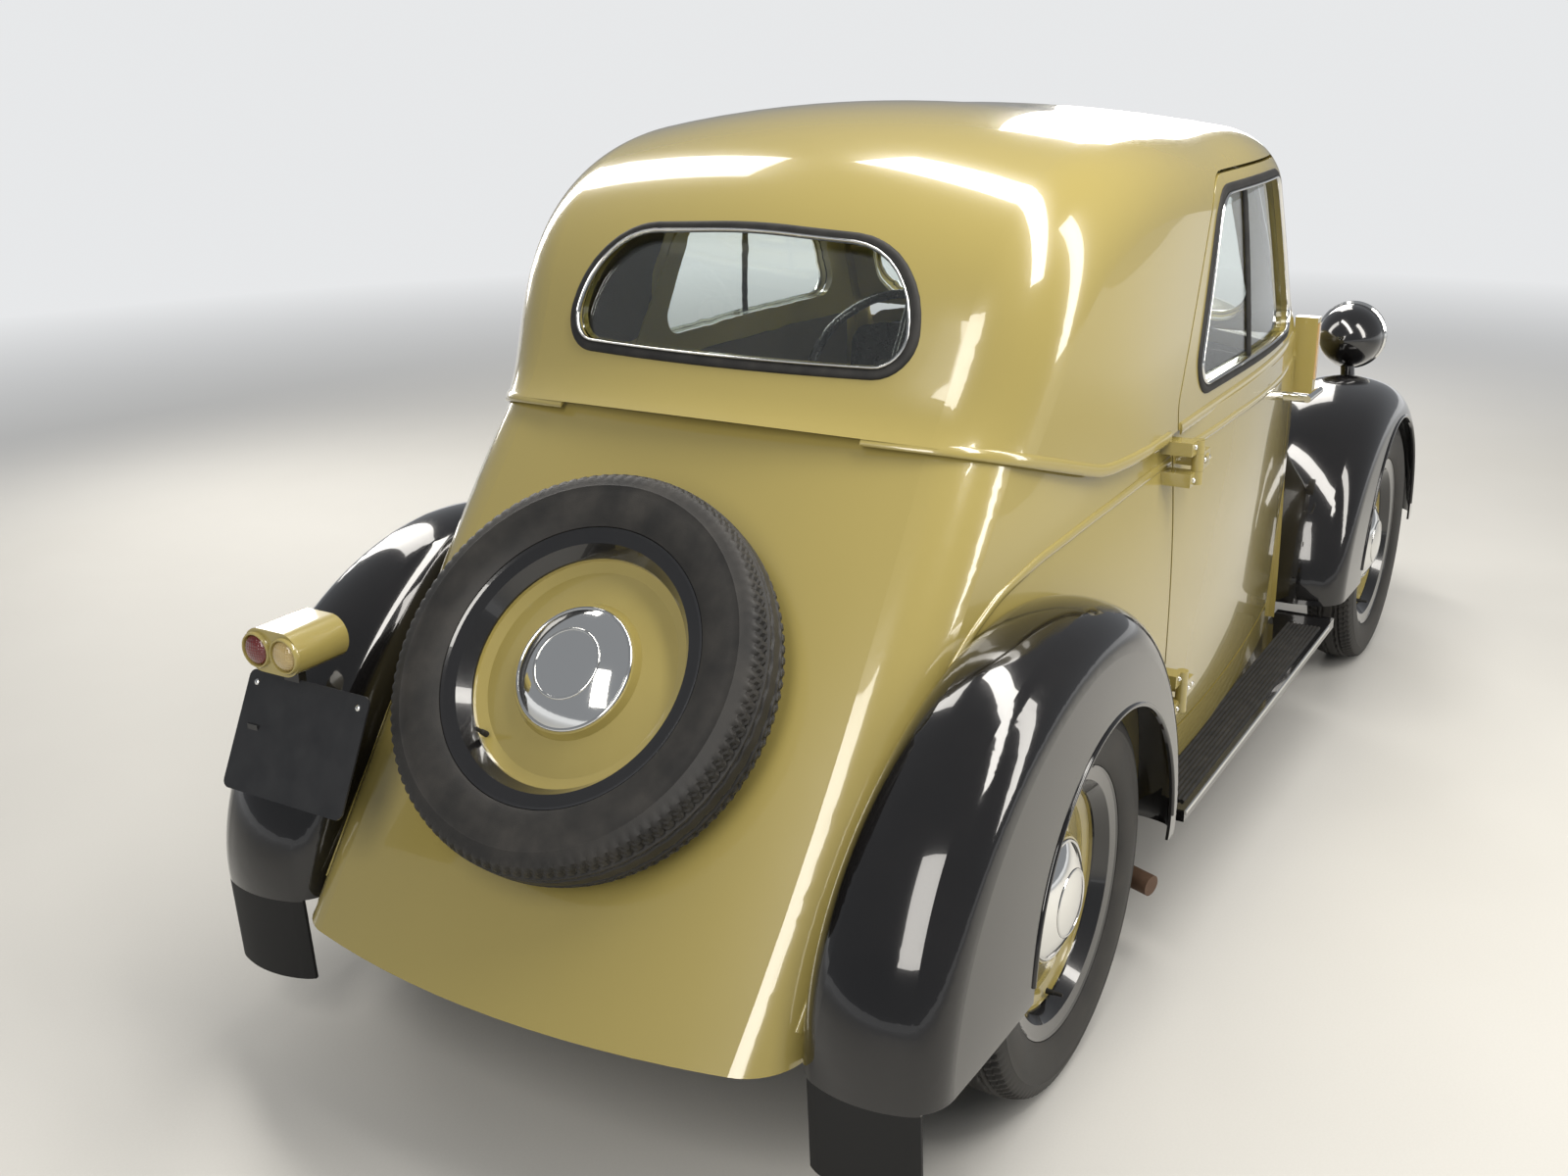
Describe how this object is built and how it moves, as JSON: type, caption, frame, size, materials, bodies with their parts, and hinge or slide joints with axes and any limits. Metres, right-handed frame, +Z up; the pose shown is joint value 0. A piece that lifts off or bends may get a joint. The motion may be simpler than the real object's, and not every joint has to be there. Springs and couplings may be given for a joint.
{
  "type": "vintage city car",
  "caption": "Small two-seat saloon with separate wings, running boards, rear-hinged doors, a sloping tail that carries the spare wheel, and an opening bonnet.",
  "frame": {"origin": "on the ground under the middle of the car's length and width", "axes": "+X forward, +Y to the car's left, +Z up"},
  "size_m": [3.202, 1.2692, 1.3797],
  "materials": {
    "body_paint": "gloss",
    "black_paint": "gloss",
    "chassis_paint": "satin",
    "wheel_paint": "gloss",
    "tyre": "matte",
    "glass": "clear",
    "chrome": "polished",
    "leather": "satin",
    "cast_iron": "matte",
    "plate": "satin",
    "plastic": "satin"
  },
  "bodies": {
    "car_body": {"chassis_frame": "chassis_paint", "cowl": "body_paint", "dashboard": "plastic", "engine": "cast_iron", "exhaust": "chassis_paint", "floor_pan": "chassis_paint", "front_apron": "body_paint", "front_axle": "chassis_paint", "gear_lever": "chassis_paint", "headlamp_left": "black_paint", "headlamp_right": "black_paint", "number_plate": "plate", "pedals": "chassis_paint", "rear_axle": "chassis_paint", "rear_window": "glass", "roof_shell": "body_paint", "running_board_left": "black_paint", "running_board_right": "black_paint", "seat_left": "leather", "seat_right": "leather", "spare_tyre": "tyre", "spare_wheel": "wheel_paint", "steering_column": "chassis_paint", "tail_lamp": "body_paint", "trafficator_left": "body_paint", "trafficator_right": "body_paint", "tub_shell": "body_paint", "windscreen": "glass", "windscreen_frame": "body_paint", "wing_front_left": "black_paint", "wing_front_right": "black_paint", "wing_rear_left": "black_paint", "wing_rear_right": "black_paint"},
    "door_left": {"door_left": "body_paint", "door_glass_left": "glass", "door_handle_left": "chrome"},
    "door_right": {"door_right": "body_paint", "door_glass_right": "glass", "door_handle_right": "chrome"},
    "bonnet": {"bonnet": "body_paint", "grille": "chrome"},
    "steering_wheel": {"steering_wheel": "plastic"},
    "knuckle_left": {"knuckle_left": "chassis_paint"},
    "knuckle_right": {"knuckle_right": "chassis_paint"},
    "wheel_front_left": {"wheel_front_left": "wheel_paint", "tyre_front_left": "tyre"},
    "wheel_front_right": {"wheel_front_right": "wheel_paint", "tyre_front_right": "tyre"},
    "wheel_rear_left": {"wheel_rear_left": "wheel_paint", "tyre_rear_left": "tyre"},
    "wheel_rear_right": {"wheel_rear_right": "wheel_paint", "tyre_rear_right": "tyre"}
  },
  "joints": [
    {"name": "door_left_hinge", "type": "hinge", "parent": "car_body", "child": "door_left", "pos_m": [-0.507, 0.584, 0.65], "axis": [0, 0, 1], "range_deg": [0, 65]},
    {"name": "door_right_hinge", "type": "hinge", "parent": "car_body", "child": "door_right", "pos_m": [-0.507, -0.584, 0.65], "axis": [0, 0, -1], "range_deg": [0, 65]},
    {"name": "bonnet_hinge", "type": "hinge", "parent": "car_body", "child": "bonnet", "pos_m": [0.647, 0, 0.91], "axis": [0, -1, 0], "range_deg": [0, 55]},
    {"name": "steering", "type": "hinge", "parent": "car_body", "child": "steering_wheel", "pos_m": [0.025, 0.238, 0.8], "axis": [0.848, 0, -0.5299], "range_deg": [-336, 336]},
    {"name": "knuckle_left_turn", "type": "hinge", "parent": "car_body", "child": "knuckle_left", "pos_m": [1.005, 0.48, 0.292], "axis": [0, 0, 1], "range_deg": [-28, 28]},
    {"name": "knuckle_right_turn", "type": "hinge", "parent": "car_body", "child": "knuckle_right", "pos_m": [1.005, -0.48, 0.292], "axis": [0, 0, 1], "range_deg": [-28, 28]},
    {"name": "wheel_front_left_roll", "type": "hinge", "parent": "knuckle_left", "child": "wheel_front_left", "pos_m": [1.005, 0.557, 0.292], "axis": [0, 1, 0], "continuous": true},
    {"name": "wheel_front_right_roll", "type": "hinge", "parent": "knuckle_right", "child": "wheel_front_right", "pos_m": [1.005, -0.557, 0.292], "axis": [0, 1, 0], "continuous": true},
    {"name": "wheel_rear_left_roll", "type": "hinge", "parent": "car_body", "child": "wheel_rear_left", "pos_m": [-0.995, 0.5415, 0.292], "axis": [0, 1, 0], "continuous": true},
    {"name": "wheel_rear_right_roll", "type": "hinge", "parent": "car_body", "child": "wheel_rear_right", "pos_m": [-0.995, -0.5415, 0.292], "axis": [0, 1, 0], "continuous": true}
  ],
  "couplings": [
    {"joint": "knuckle_left_turn", "follows": "steering", "ratio": -0.083333},
    {"joint": "knuckle_right_turn", "follows": "steering", "ratio": -0.083333}
  ]
}
